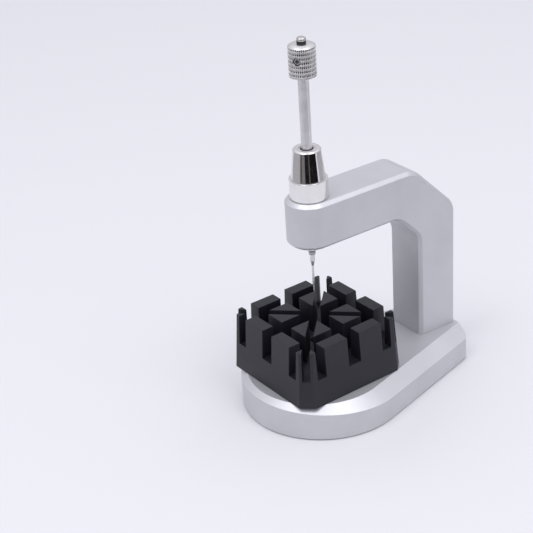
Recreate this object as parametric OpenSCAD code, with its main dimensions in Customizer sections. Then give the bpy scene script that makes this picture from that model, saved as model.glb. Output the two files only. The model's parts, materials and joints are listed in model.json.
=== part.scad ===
// Bench press for driving the link pins out of a watch bracelet.
// Millimetres, +Z up. The origin is on the underside of the base plate, straight below the plunger.
// The column stands at +Y, behind the plunger.

/* [Base plate] */
// Thickness of the base plate
base_h = 15.9; // [14:0.1:18]
// Radius of the round front wall
base_r = 38.1; // [37:0.1:40]
// Distance of that wall's centre behind the plunger
base_set = 3; // [2:0.1:4]
// Distance from the plunger to the flat back
base_back = 74.9; // [74.9:0.1:78]
// Angle by which each side runs in towards the back
side_taper = 15.3; // [13:0.1:16]
// Radius of the two rear corners
rear_r = 4; // [2:0.5:5]
// Radius of the flat top's round front, centred on the plunger
top_r = 32.4; // [31:0.1:33]
// Slope of the bevel below the flat top
bevel_slope = 38.7; // [30:0.1:42]

/* [Feet] */
// Diameter of each foot pad
foot_d = 10; // [8:0.5:12]
// Height of the pads below the base plate
foot_drop = 0.6; // [0.4:0.1:1.5]
// Depth of the recess that holds each pad
foot_recess = 1; // [0.6:0.1:2]

/* [Arm and column] */
// Side of the square bar
bar = 21.8; // [21:0.1:21.8]
// Height of the arm's top face
arm_top = 102.3; // [101:0.1:106]
// Distance from the plunger to the front face of the column
column_front = 53.1; // [52.8:0.1:53.1]
// Leg of the 45-degree elbow that cuts the outer corner
elbow_leg = 24.1; // [22:0.1:26]
// Leg of the elbow face on the inner corner
inner_leg = 12.1; // [11.5:0.1:12.5]
// Radius at both ends of the outer elbow face
elbow_r = 10; // [6:0.5:12]
// Radius at both ends of the inner elbow face
inner_r = 8; // [5:0.5:10]
// Width of the chamfer along the bar's edges
edge_cut = 1.65; // [1:0.05:2]

/* [Plunger] */
// Diameter of the rod
rod_d = 4.8; // [4.6:0.05:5]
// Stroke of the plunger
stroke = 30; // [20:0.5:30]
// Height of the push pin's tip at rest
pin_tip_z = 58.4; // [56:0.1:60]
// Diameter of the pin's needle
needle_d = 1; // [0.8:0.05:1.2]
// Diameter of the pin's shank
shank_d = 2.2; // [2:0.05:2.3]

/* [Knob] */
// Diameter over the knurling
knob_d = 11.84; // [11.5:0.02:13]
// Height of the knob's underside at rest
knob_z = 157.4; // [157:0.1:160]
// Number of knurled bands
knob_bands = 7; // [5:1:8]
// Height of one band with its groove
band_pitch = 1.843; // [1.6:0.001:2]
// Number of flutes around each band
knob_flutes = 42; // [24:2:48]
// Direction in which the knob's grub screw faces
knob_screw_turn = -59; // [-180:1:180]

/* [Guide housing] */
// Diameter of the plated ring
ring_d = 17.1; // [16.5:0.1:18]
// Height of the plated ring
ring_h = 8.9; // [8:0.1:10]
// Diameter of the cone where it meets the ring
cone_d = 15.2; // [14.5:0.1:16]
// Diameter of the cone's top
cone_top_d = 12.3; // [11.5:0.1:13]
// Height of the cone
cone_h = 13.8; // [12:0.1:14]
// Diameter of the spring chamber
chamber_d = 10.4; // [10:0.1:11]

/* [Holder block] */
// Width of the block at its foot
block_w = 58; // [56:0.5:60]
// Height of the block
block_h = 27.1; // [25:0.1:28]
// Lean of its side walls
draft = 4; // [1:0.1:5]
// Leg of the cut across each upright corner, at the foot
corner_leg = 5.2; // [4:0.1:5.5]
// Depth of every slot
slot_depth = 14; // [12:0.5:18]
// Width of the two slots through the middle
mid_slot = 6.7; // [5:0.1:7]
// Width of the four outer slots
side_slot = 4.9; // [3:0.1:5.5]
// Distance of the outer slots from the middle
side_slot_set = 18.6; // [18:0.1:19]
// Width of the two diagonal slots
cross_slot = 3.6; // [3:0.1:5]
// Diameter of the hole for the driven pin
drop_hole_d = 4.2; // [4:0.1:4.6]
// Diameter of the countersunk mouth of that hole
drop_mouth_d = 5.4; // [5.3:0.1:6]
// Shift of the block sideways on the base
block_x = -1.3; // [-3:0.1:3]
// Shift of the block backwards on the base
block_y = 0.6; // [-3:0.1:3]
// Turn of the block on the base
block_turn = 1.2; // [-5:0.1:5]

/* [Hidden] */
$fn = 96;

over = 1;        // how far a cutter runs past the surface it opens
fit = 0.05;      // radial clearance of a running or locating fit

half_bar = bar / 2;
arm_bottom = arm_top - bar;
column_back = column_front + bar;

// Elbow corners in the side view, as [distance back, height]
outer_a = [column_back - elbow_leg, arm_top];
outer_b = [column_back, arm_top - elbow_leg];
inner_a = [column_front - inner_leg, arm_bottom];
inner_b = [column_front, arm_bottom - inner_leg];
outer_run = elbow_r * tan(22.5);
inner_run = inner_r * tan(22.5);

// Screws and dowels under the column
screw_y = [column_front + 5.2, column_back - 5.2];
screw_d = 5;
screw_head_d = 8.5;
screw_head_h = 5;
washer_h = 1;
head_pocket = 8;
dowel_x = 6;
dowel_d = 3;
dowel_y = (column_front + column_back) / 2;

// Guide housing levels
ring_top = arm_top + ring_h;
cone_top = ring_top + cone_h;
ceiling_z = cone_top - 3.2;
spigot_d = 13.6;
spigot_h = 8;
cone_spigot_d = 12.6;
cone_spigot_h = 4;
wiper_d = 7.2;
wiper_h = 1.2;
bush_d = 8;
bush_h = 3.5;
floor_z = arm_bottom + bush_h;

// Stop ring and spring
groove_d = 4;
stop_d = 9.6;
stop_h = 1.2;
stop_top = ceiling_z - 0.1;
seat_h = 0.6;
wire_d = 0.6;
spring_d = 9.2;
spring_turns = 8;
spring_z = floor_z + seat_h;
spring_h = stop_top - stop_h - spring_z;

// Chuck and pin levels at rest
shank_z = pin_tip_z + 12.6;
cone_run = 2.3;
shank_len = 9;
chuck_z = shank_z + 3;
chuck_tip_d = 3.1;
chuck_cone_z = chuck_z + 1.6;
chuck_step_z = chuck_cone_z + 0.9;
collet_d = 3.5;
collet_len = 8;
chuck_screw_d = 1.6;
chuck_screw_z = chuck_step_z + 2.6;

// Knob levels
knob_top = knob_z + knob_bands * band_pitch;
crown_h = 1.2;
crown_r = 4.4;
groove_h = 0.5;
groove_depth = 0.45;
flute_depth = 0.35;
knob_screw_d = 3;
knob_screw_z = 165.2;
rod_top = knob_top - 1;
button_stem_d = 3;
button_d = 4.1;
button_seat_h = 1.15;
button_h = 1.7;

block_z = base_h + 0.1;

// ---------- shared shapes ----------

// Round front, straight sides that run in, flat back with round corners
module tapered_outline() {
  side = [cos(side_taper), sin(side_taper)];
  corner_y = base_back - rear_r;
  corner_x = (base_r - rear_r - (corner_y - base_set) * side.y) / side.x;
  translate([0, base_set]) circle(r = base_r);
  for (s = [-1, 1]) translate([s * corner_x, corner_y]) circle(r = rear_r);
  polygon([
    [base_r * side.x, base_set + base_r * side.y],
    [corner_x + rear_r * side.x, corner_y + rear_r * side.y],
    [corner_x, base_back],
    [-corner_x, base_back],
    [-corner_x - rear_r * side.x, corner_y + rear_r * side.y],
    [-base_r * side.x, base_set + base_r * side.y]
  ]);
}

// Tube standing on z
module tube(outer, inner, z, h) {
  difference() {
    translate([0, 0, z]) cylinder(d = outer, h = h);
    translate([0, 0, z - over]) cylinder(d = inner, h = h + 2 * over);
  }
}

// Hexagon socket, its mouth at z = 0 and cut downwards
module hex_socket(across, depth) {
  translate([0, 0, -depth]) cylinder(d = across / cos(30), h = depth + over, $fn = 6);
}

// ---------- base plate ----------

// Section of the bevel cutter: r is the distance at which the flat top ends
module bevel_section(r) {
  reach = 12;
  polygon([
    [r, base_h],
    [r + reach, base_h - reach * tan(bevel_slope)],
    [r + reach, base_h + over],
    [r, base_h + over]
  ]);
}

// Everything behind the two lines where the round bevel meets the straight ones
module rear_sector() {
  reach = 2 * base_back;
  translate([0, 0, -over]) linear_extrude(base_h + 2 * over) polygon([
    [0, 0],
    [reach * cos(side_taper), reach * sin(side_taper)],
    [reach * cos(side_taper), reach],
    [-reach * cos(side_taper), reach],
    [-reach * cos(side_taper), reach * sin(side_taper)]
  ]);
}

// The plate with its bevel, without holes
module plate_blank() {
  difference() {
    linear_extrude(base_h) tapered_outline();
    rear_sector();
    rotate_extrude() bevel_section(top_r);
  }
  intersection() {
    difference() {
      linear_extrude(base_h) tapered_outline();
      for (s = [0, 1]) mirror([s, 0, 0]) rotate([0, 0, side_taper])
        translate([0, base_back + 30, 0]) rotate([90, 0, 0])
          linear_extrude(base_back + 60) bevel_section(top_r);
    }
    rear_sector();
  }
}

module foot_places() {
  for (s = [-1, 1]) {
    translate([s * 22, -17, 0]) children();
    translate([s * 15.5, 66, 0]) children();
  }
}

module base_plate() {
  color("#b9bbc2") difference() {
    plate_blank();
    foot_places() translate([0, 0, -over]) cylinder(d = foot_d + 2 * fit, h = foot_recess + over);
    for (y = screw_y) translate([0, y, -over]) {
      cylinder(d = screw_head_d + 0.6, h = head_pocket + over);
      cylinder(d = screw_d + 0.4, h = base_h + 2 * over);
    }
    for (s = [-1, 1]) translate([s * dowel_x, dowel_y, base_h - 6])
      cylinder(d = dowel_d + 2 * fit, h = 6 + over);
  }
}

module base_feet() {
  color("#24252a") foot_places() translate([0, 0, -foot_drop])
    cylinder(d = foot_d, h = foot_drop + foot_recess);
}

// ---------- arm and column ----------

// Unit directions that meet at the two ends of the elbow: the run towards the arm or along the elbow
// face, and the run along the elbow face or down the column
to_nose = [-1, 0];
down_elbow = [1, -1] / sqrt(2);
up_elbow = [-1, 1] / sqrt(2);
to_base = [0, -1];

// Centre of the radius r that rounds a 45-degree corner at p between directions a and b
function bend_centre(p, a, b, r) = p + (a + b) / norm(a + b) * r / sin(67.5);

// What lies between the sharp corner and its radius
module corner_patch(p, a, b, r) {
  run = r * tan(22.5);
  difference() {
    polygon([p, p + run * a, p + run * b]);
    translate(bend_centre(p, a, b, r)) circle(r = r);
  }
}

// Side view of the bar, as [distance back, height]
module bar_profile() {
  difference() {
    union() {
      polygon([
        [-half_bar, arm_bottom], inner_a, inner_b, [column_front, base_h],
        [column_back, base_h], outer_b, outer_a, [-half_bar, arm_top]
      ]);
      corner_patch(inner_a, to_nose, down_elbow, inner_r);
      corner_patch(inner_b, up_elbow, to_base, inner_r);
    }
    corner_patch(outer_a, to_nose, down_elbow, elbow_r);
    corner_patch(outer_b, up_elbow, to_base, elbow_r);
  }
}

// Cuts the chamfer of one straight edge of the side view; the bar lies on the left of a to b
module straight_chamfer(a, b) {
  turn = atan2(b.y - a.y, b.x - a.x);
  translate([a.x, a.y, 0]) rotate([0, 0, turn]) rotate([90, 0, 90]) linear_extrude(norm(b - a)) polygon([
    [-over, half_bar - edge_cut - over],
    [edge_cut + over, half_bar + over],
    [-over, half_bar + over]
  ]);
}

// Cuts the chamfer along a 45-degree arc; side is 1 where the bar lies inside the radius, -1 outside it
module arc_chamfer(centre, r, from, side) {
  translate([centre.x, centre.y, 0]) rotate_extrude(angle = 45, start = from) polygon([
    [r + side * over, half_bar - edge_cut - over],
    [r - side * (edge_cut + over), half_bar + over],
    [r + side * over, half_bar + over]
  ]);
}

module edge_chamfers() {
  straight_chamfer([0, arm_bottom], inner_a + inner_run * to_nose);
  straight_chamfer(inner_a + inner_run * down_elbow, inner_b + inner_run * up_elbow);
  straight_chamfer(inner_b + inner_run * to_base, [column_front, base_h - over]);
  straight_chamfer([column_back, base_h - over], outer_b + outer_run * to_base);
  straight_chamfer(outer_b + outer_run * up_elbow, outer_a + outer_run * down_elbow);
  straight_chamfer(outer_a + outer_run * to_nose, [0, arm_top]);
  arc_chamfer(bend_centre(inner_a, to_nose, down_elbow, inner_r), inner_r, 45, -1);
  arc_chamfer(bend_centre(inner_b, up_elbow, to_base, inner_r), inner_r, 0, -1);
  arc_chamfer(bend_centre(outer_a, to_nose, down_elbow, elbow_r), elbow_r, 45, 1);
  arc_chamfer(bend_centre(outer_b, up_elbow, to_base, elbow_r), elbow_r, 0, 1);
}

// Rounds the front of the arm in plan and chamfers its two rims
module nose_cutters() {
  translate([0, 0, arm_bottom - over]) linear_extrude(bar + 2 * over) difference() {
    translate([-bar, -bar]) square([2 * bar, bar]);
    circle(r = half_bar);
  }
  for (rim = [[arm_top, 1], [arm_bottom, -1]]) translate([0, 0, rim[0]]) flip_if_below(rim[1])
    rotate([0, 0, 180]) rotate_extrude(angle = 180) polygon([
      [half_bar - edge_cut - over, over],
      [half_bar + over, -edge_cut - over],
      [half_bar + over, over]
    ]);
}

// Mirrors in height where side is -1
module flip_if_below(side) {
  mirror([0, 0, side < 0 ? 1 : 0]) children();
}

module arm_frame() {
  color("#b4b6bd") difference() {
    rotate([90, 0, 90]) difference() {
      translate([0, 0, -half_bar]) linear_extrude(bar) bar_profile();
      edge_chamfers();
      mirror([0, 0, 1]) edge_chamfers();
    }
    nose_cutters();
    translate([0, 0, arm_top - spigot_h]) cylinder(d = spigot_d + 2 * fit, h = spigot_h + over);
    translate([0, 0, floor_z]) cylinder(d = chamber_d, h = arm_top - floor_z);
    translate([0, 0, arm_bottom - over]) cylinder(d = bush_d, h = bush_h + 2 * over);
    for (y = screw_y) translate([0, y, base_h - over]) cylinder(d = screw_d + 2 * fit, h = 15 + over);
    for (s = [-1, 1]) translate([s * dowel_x, dowel_y, base_h - over])
      cylinder(d = dowel_d + 2 * fit, h = 6 + over);
  }
}

module column_screws() {
  head_z = head_pocket - washer_h;
  color("#3a3b40") for (y = screw_y) translate([0, y, 0]) {
    difference() {
      translate([0, 0, head_z - screw_head_h]) cylinder(d = screw_head_d, h = screw_head_h);
      translate([0, 0, head_z - screw_head_h]) mirror([0, 0, 1]) hex_socket(4, 2.5);
    }
    translate([0, 0, head_z]) cylinder(d = screw_d, h = 21);
  }
}

module column_washers() {
  color("#c9cacf") for (y = screw_y) translate([0, y, 0])
    tube(screw_head_d, screw_d + 0.2, head_pocket - washer_h, washer_h);
}

module column_dowels() {
  color("#8e9096") for (s = [-1, 1]) translate([s * dowel_x, dowel_y, base_h - 5.8])
    cylinder(d = dowel_d, h = 11.6);
}

// ---------- guide housing ----------

module guide_collar() {
  color("#d8d4d0") rotate_extrude() difference() {
    union() {
      translate([0, arm_top - spigot_h]) square([spigot_d / 2, spigot_h + ring_h]);
      translate([0, arm_top]) square([ring_d / 2, ring_h - 0.4]);
      translate([0, arm_top]) square([ring_d / 2 - 0.4, ring_h]);
      translate([ring_d / 2 - 0.4, ring_top - 0.4]) circle(r = 0.4);
    }
    translate([0, arm_top - spigot_h - over]) square([chamber_d / 2, spigot_h + ring_h + 2 * over]);
    translate([0, ring_top - cone_spigot_h]) square([cone_spigot_d / 2 + fit, cone_spigot_h + over]);
  }
}

module guide_cone() {
  rim = 0.5;
  slope = (cone_d - cone_top_d) / 2 / cone_h;
  color("#dcdad6") rotate_extrude() difference() {
    union() {
      polygon([
        [0, ring_top], [cone_d / 2, ring_top], [cone_top_d / 2 + slope * rim, cone_top - rim],
        [cone_top_d / 2 - rim, cone_top], [0, cone_top]
      ]);
      translate([0, ring_top - cone_spigot_h]) square([cone_spigot_d / 2, cone_spigot_h + fit]);
    }
    translate([0, ring_top - cone_spigot_h - over])
      square([chamber_d / 2, ceiling_z - ring_top + cone_spigot_h + over]);
    translate([0, ceiling_z - over]) square([rod_d / 2 + fit, 5]);
    translate([0, cone_top - wiper_h]) square([wiper_d / 2 + fit, wiper_h + over]);
  }
}

module wiper_ring() {
  color("#b8b6b2") tube(wiper_d, rod_d + 2 * fit, cone_top - wiper_h, wiper_h - 0.1);
}

module lower_bush() {
  color("#b08d57") tube(bush_d, rod_d + 2 * fit, arm_bottom, bush_h);
}

module spring_seat() {
  color("#c9cacf") tube(chamber_d - 0.2, rod_d + 0.6, floor_z, seat_h);
}

// One closed wire: each end lies flat for a turn, and the turns between rise evenly
module return_spring() {
  around = 24;
  sides = 6;
  last = spring_turns * around;
  r = (spring_d - wire_d) / 2;
  flat = wire_d * 1.02;
  rise = spring_h - wire_d - 2 * flat;
  function height(turn) =
    turn < 1 ? flat * turn
    : turn > spring_turns - 1 ? flat + rise + flat * (turn - spring_turns + 1)
    : flat + rise * (turn - 1) / (spring_turns - 2);
  points = [
    for (i = [0:last], k = [0:sides - 1])
      let (turn = i / around, reach = r + wire_d / 2 * cos(360 / sides * k))
      [
        reach * cos(360 * turn), reach * sin(360 * turn),
        spring_z + wire_d / 2 + height(turn) + wire_d / 2 * sin(360 / sides * k)
      ]
  ];
  walls = [
    for (i = [0:last - 1], k = [0:sides - 1])
      let (a = i * sides + k, b = i * sides + (k + 1) % sides)
      each [[a, b, a + sides], [b, b + sides, a + sides]]
  ];
  ends = [[for (k = [0:sides - 1]) sides - 1 - k], [for (k = [0:sides - 1]) last * sides + k]];
  color("#9a9ca2") polyhedron(points, concat(walls, ends), convexity = 10);
}

module stop_ring() {
  color("#55575d") tube(stop_d, groove_d + 2 * fit, stop_top - stop_h, stop_h);
}

// ---------- plunger ----------

module plunger_rod() {
  color("#a9abb0") difference() {
    translate([0, 0, chuck_step_z]) cylinder(d = rod_d, h = rod_top - chuck_step_z);
    tube(rod_d + over, groove_d, stop_top - stop_h - fit, stop_h + 2 * fit);
    translate([0, 0, chuck_step_z - over]) cylinder(d = collet_d + 0.1, h = collet_len + over + 0.1);
    translate([0, 0, chuck_screw_z]) rotate([0, 90, 0]) cylinder(d = chuck_screw_d, h = rod_d);
  }
}

module chuck_nose() {
  color("#8b8d93") difference() {
    union() {
      translate([0, 0, chuck_z]) cylinder(d = chuck_tip_d, h = chuck_cone_z - chuck_z);
      translate([0, 0, chuck_cone_z])
        cylinder(d1 = chuck_tip_d, d2 = rod_d, h = chuck_step_z - chuck_cone_z);
      translate([0, 0, chuck_step_z]) cylinder(d = collet_d, h = collet_len);
    }
    translate([0, 0, chuck_z - over]) cylinder(d = shank_d + 2 * fit, h = shank_len + over);
    translate([0, 0, chuck_screw_z]) rotate([0, 90, 0]) cylinder(d = chuck_screw_d, h = rod_d);
  }
}

module chuck_screw() {
  start = shank_d / 2 + fit;
  color("#2c2d31") translate([0, 0, chuck_screw_z]) rotate([0, 90, 0]) difference() {
    translate([0, 0, start]) cylinder(d = chuck_screw_d - 0.04, h = rod_d / 2 - 0.1 - start);
    translate([0, 0, rod_d / 2 - 0.1]) hex_socket(0.7, 0.6);
  }
}

module push_pin() {
  tip = 0.3;
  color("#b6b8bd") rotate_extrude() polygon([
    [0, pin_tip_z],
    [needle_d / 2 - tip / 2, pin_tip_z],
    [needle_d / 2, pin_tip_z + tip],
    [needle_d / 2, shank_z - cone_run],
    [shank_d / 2, shank_z],
    [shank_d / 2, chuck_z + shank_len - 0.05],
    [0, chuck_z + shank_len - 0.05]
  ]);
}

// ---------- knob ----------

module knob() {
  color("#b9bac0") difference() {
    union() {
      translate([0, 0, knob_z]) cylinder(d = knob_d, h = knob_top - knob_z);
      translate([0, 0, knob_top]) cylinder(r1 = knob_d / 2, r2 = crown_r, h = crown_h);
    }
    for (i = [1:knob_bands]) rotate_extrude()
      translate([knob_d / 2 - groove_depth, knob_z + i * band_pitch - groove_h])
        square([groove_depth + over, groove_h]);
    for (i = [0:knob_flutes - 1]) rotate([0, 0, 360 / knob_flutes * i])
      translate([0, 0, knob_z - over]) linear_extrude(knob_top - knob_z - groove_h + over) polygon([
        [knob_d / 2 - flute_depth, 0],
        [knob_d / 2 + flute_depth, -2 * flute_depth],
        [knob_d / 2 + flute_depth, 2 * flute_depth]
      ]);
    translate([0, 0, knob_z - over]) cylinder(d = rod_d + 0.04, h = rod_top - knob_z + over + 0.1);
    translate([0, 0, rod_top]) cylinder(d = button_stem_d + 0.04, h = 5);
    rotate([0, 0, knob_screw_turn]) translate([0, 0, knob_screw_z]) rotate([0, 90, 0])
      cylinder(d = knob_screw_d + 0.1, h = knob_d);
  }
}

module knob_screw() {
  start = rod_d / 2 + 0.03;
  end = knob_d / 2 - 0.55;
  color("#6f7177") rotate([0, 0, knob_screw_turn]) translate([0, 0, knob_screw_z]) rotate([0, 90, 0])
    difference() {
      translate([0, 0, start]) cylinder(d = knob_screw_d, h = end - start);
      translate([0, 0, end]) hex_socket(1.5, 1.4);
    }
}

module button_seat() {
  color("#17181b") tube(button_d - 0.1, button_stem_d + 0.06, knob_top + crown_h, button_seat_h);
}

module striking_button() {
  head_z = knob_top + crown_h + button_seat_h;
  dome_r = 2.6;
  color("#b4b6ba") {
    translate([0, 0, rod_top + 0.15]) cylinder(d = button_stem_d, h = head_z - rod_top);
    intersection() {
      translate([0, 0, head_z]) cylinder(d = button_d, h = button_h);
      translate([0, 0, head_z + button_h - dome_r]) sphere(r = dome_r);
    }
  }
}

// ---------- holder block ----------

// Everything beyond a side wall that stands this far out at the foot and leans inwards
module lean_cut(distance) {
  translate([distance, 0, 0]) rotate([0, -draft, 0]) translate([0, -block_w, -2 * over])
    cube([block_w / 2, 2 * block_w, 2 * block_h]);
}

module slot_cut(width, set) {
  translate([-block_w, set - width / 2, block_h - slot_depth])
    cube([2 * block_w, width, slot_depth + over]);
}

module holder_block() {
  corner_set = (block_w - corner_leg) / sqrt(2);
  mouth_h = 2.2;
  color("#2a2b31") translate([block_x, block_y, block_z]) rotate([0, 0, block_turn]) difference() {
    translate([-block_w / 2, -block_w / 2, 0]) cube([block_w, block_w, block_h]);
    for (a = [0:90:270]) {
      rotate([0, 0, a]) lean_cut(block_w / 2);
      rotate([0, 0, a + 45]) lean_cut(corner_set);
    }
    for (a = [0, 90]) rotate([0, 0, a]) {
      slot_cut(mid_slot, 0);
      slot_cut(side_slot, side_slot_set);
      slot_cut(side_slot, -side_slot_set);
    }
    for (a = [45, 135]) rotate([0, 0, a]) slot_cut(cross_slot, 0);
    translate([0, 0, -over]) cylinder(d = drop_hole_d, h = block_h);
    translate([0, 0, block_h - slot_depth - mouth_h])
      cylinder(d1 = drop_hole_d, d2 = drop_mouth_d, h = mouth_h);
  }
}

base_plate();
base_feet();
arm_frame();
column_screws();
column_washers();
column_dowels();
guide_collar();
guide_cone();
wiper_ring();
lower_bush();
spring_seat();
return_spring();
stop_ring();
plunger_rod();
knob();
knob_screw();
striking_button();
button_seat();
chuck_nose();
chuck_screw();
push_pin();
holder_block();
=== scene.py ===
"""Looks of a bench press that drives the link pins out of a watch bracelet.

Every length is in metres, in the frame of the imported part: the origin is on the underside of the
base plate, straight below the plunger, +Z is up and +Y points to the column.
"""

import json
import logging
import math
from dataclasses import dataclass, field
from enum import Enum
from typing import Callable, Iterable

import bmesh
import bpy
from mathutils import Matrix, Vector

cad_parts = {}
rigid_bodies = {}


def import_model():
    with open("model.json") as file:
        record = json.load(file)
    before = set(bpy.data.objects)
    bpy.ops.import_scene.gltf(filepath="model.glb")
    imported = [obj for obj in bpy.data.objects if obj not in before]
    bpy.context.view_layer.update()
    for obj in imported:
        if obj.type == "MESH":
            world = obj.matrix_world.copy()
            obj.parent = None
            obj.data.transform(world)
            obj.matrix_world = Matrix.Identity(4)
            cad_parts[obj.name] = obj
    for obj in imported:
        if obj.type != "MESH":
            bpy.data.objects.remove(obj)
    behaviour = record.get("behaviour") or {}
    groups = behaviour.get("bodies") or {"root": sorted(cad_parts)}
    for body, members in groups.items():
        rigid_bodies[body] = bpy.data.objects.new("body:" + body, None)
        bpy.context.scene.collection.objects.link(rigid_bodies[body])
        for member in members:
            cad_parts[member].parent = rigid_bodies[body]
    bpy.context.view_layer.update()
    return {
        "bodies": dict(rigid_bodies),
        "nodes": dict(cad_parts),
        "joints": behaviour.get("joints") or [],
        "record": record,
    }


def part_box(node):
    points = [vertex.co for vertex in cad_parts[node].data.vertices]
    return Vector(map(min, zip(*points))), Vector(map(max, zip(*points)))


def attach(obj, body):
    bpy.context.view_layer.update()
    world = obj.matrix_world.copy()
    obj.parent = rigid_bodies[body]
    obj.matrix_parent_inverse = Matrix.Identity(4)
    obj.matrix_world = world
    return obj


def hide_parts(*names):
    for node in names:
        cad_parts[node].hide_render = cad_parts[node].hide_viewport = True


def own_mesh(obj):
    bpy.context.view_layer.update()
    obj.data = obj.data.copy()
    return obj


MM = 0.001
LOG = logging.getLogger("bench_press")

Point2 = tuple[float, float]
Triple = tuple[float, float, float]
BMesh = bmesh.types.BMesh
BMVert = bmesh.types.BMVert
BMEdge = bmesh.types.BMEdge
BMFace = bmesh.types.BMFace
Material = bpy.types.Material
Object = bpy.types.Object
Socket = bpy.types.NodeSocket

FRAME: dict = {}


def shade(tint: Triple, factor: float) -> Triple:
    """Scale a colour, up to white."""
    return tuple(min(1.0, c * factor) for c in tint)


class Turning(Enum):
    """Which way the fine lines of a machined finish run."""

    ROUND = "round"
    ALONG = "along"


# --------------------------------------------------------------------------------------------------
# Node helpers
# --------------------------------------------------------------------------------------------------


@dataclass
class Shader:
    """A material under construction: its node tree and a few shorthands.

    Args:
        name: Name of the material.
    """

    name: str
    material: Material = field(init=False)

    def __post_init__(self) -> None:
        """Make an empty node material with one Principled shader."""
        self.material = bpy.data.materials.new(self.name)
        self.material.use_nodes = True
        self.nodes = self.material.node_tree.nodes
        self.links = self.material.node_tree.links
        self.principled = self.nodes["Principled BSDF"]
        self.coordinates = self.nodes.new("ShaderNodeTexCoord")

    def set(self, **values: float | tuple) -> None:
        """Set sockets of the Principled shader; underscores stand for spaces."""
        for key, value in values.items():
            self.principled.inputs[key.replace("_", " ")].default_value = value

    def link(self, source: Socket, target: Socket) -> None:
        """Join two sockets."""
        self.links.new(source, target)

    def mapped(self, scale: Triple, origin: Triple = (0, 0, 0)) -> Socket:
        """Object coordinates, moved to an origin and stretched.

        Args:
            scale: Factor on each axis.
            origin: Point of the object that becomes the pattern's centre.

        Returns:
            The vector socket.
        """
        node = self.nodes.new("ShaderNodeMapping")
        node.inputs["Scale"].default_value = scale
        node.inputs["Location"].default_value = [-o * s for o, s in zip(origin, scale)]
        self.link(self.coordinates.outputs["Object"], node.inputs["Vector"])
        return node.outputs["Vector"]

    def noise(self, vector: Socket, scale: float, detail: float = 3.0, roughness: float = 0.55) -> Socket:
        """Noise texture on a vector.

        Args:
            vector: Coordinates to read.
            scale: Size of the pattern, as repeats a metre.
            detail: Number of octaves.
            roughness: Strength of the finer octaves.

        Returns:
            The noise value socket.
        """
        node = self.nodes.new("ShaderNodeTexNoise")
        node.inputs["Scale"].default_value = scale
        node.inputs["Detail"].default_value = detail
        node.inputs["Roughness"].default_value = roughness
        self.link(vector, node.inputs["Vector"])
        return node.outputs["Fac"]

    def remap(self, value: Socket, least: float, most: float, start: float = 0.3, end: float = 0.7) -> Socket:
        """Map a value between start and end onto the range least to most.

        Args:
            value: Socket to read.
            least: Result at start.
            most: Result at end.
            start: Value that gives least.
            end: Value that gives most.

        Returns:
            The mapped socket.
        """
        node = self.nodes.new("ShaderNodeMapRange")
        for key, number in (("From Min", start), ("From Max", end), ("To Min", least), ("To Max", most)):
            node.inputs[key].default_value = number
        self.link(value, node.inputs["Value"])
        return node.outputs["Result"]

    def mix(self, factor: Socket, first: Triple | Socket, second: Triple) -> Socket:
        """Blend two colours.

        Args:
            factor: Share of the second colour.
            first: First colour.
            second: Second colour.

        Returns:
            The colour socket.
        """
        node = self.nodes.new("ShaderNodeMix")
        node.data_type = "RGBA"
        if isinstance(first, Socket):
            self.link(first, node.inputs[6])
        else:
            node.inputs[6].default_value = (*first, 1.0)
        node.inputs[7].default_value = (*second, 1.0)
        self.link(factor, node.inputs[0])
        return node.outputs[2]

    def math(self, operation: str, first: Socket, second: Socket | float = 0.0) -> Socket:
        """Apply one arithmetic operation.

        Args:
            operation: Name of the operation.
            first: First value.
            second: Second value.

        Returns:
            The result socket.
        """
        node = self.nodes.new("ShaderNodeMath")
        node.operation = operation
        self.link(first, node.inputs[0])
        if isinstance(second, Socket):
            self.link(second, node.inputs[1])
        else:
            node.inputs[1].default_value = second
        return node.outputs["Value"]

    def colour(self, value: Socket) -> None:
        """Drive the base colour."""
        self.link(value, self.principled.inputs["Base Color"])

    def rough(self, value: Socket) -> None:
        """Drive the roughness."""
        self.link(value, self.principled.inputs["Roughness"])

    def bump(self, height: Socket, depth: float, strength: float = 1.0) -> None:
        """Raise the surface by a height pattern.

        Args:
            height: Pattern from 0 to 1.
            depth: Height of the relief in metres.
            strength: Share of the relief that shows.
        """
        node = self.nodes.new("ShaderNodeBump")
        node.inputs["Strength"].default_value = strength
        node.inputs["Distance"].default_value = depth
        self.link(height, node.inputs["Height"])
        self.link(node.outputs["Normal"], self.principled.inputs["Normal"])


# --------------------------------------------------------------------------------------------------
# Finishes
# --------------------------------------------------------------------------------------------------


@dataclass(frozen=True)
class BlastedAluminium:
    """Bead-blasted and clear anodised aluminium: even, fine-grained and silky.

    Args:
        name: Name of the material.
        tint: Base colour.
        roughness: Mean roughness.
        metallic: Share of clear metal that shows through the milky oxide layer.
    """

    name: str
    tint: Triple = (0.61, 0.615, 0.64)
    roughness: float = 0.5
    metallic: float = 0.6

    def build(self) -> Material:
        """Make the material.

        Returns:
            The material.
        """
        s = Shader(self.name)
        s.set(Metallic=self.metallic, IOR=1.5)
        grain = s.noise(s.mapped((1, 1, 1)), 5200.0, 2.0, 0.6)
        cloud = s.noise(s.mapped((1, 1, 1)), 55.0, 4.0, 0.5)
        light = shade(self.tint, 1.03)
        dark = shade(self.tint, 0.955)
        s.colour(s.mix(s.remap(cloud, 0.0, 1.0), dark, light))
        s.rough(s.remap(grain, self.roughness - 0.05, self.roughness + 0.07))
        s.bump(grain, 0.006 * MM, 0.6)
        return s.material


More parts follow.
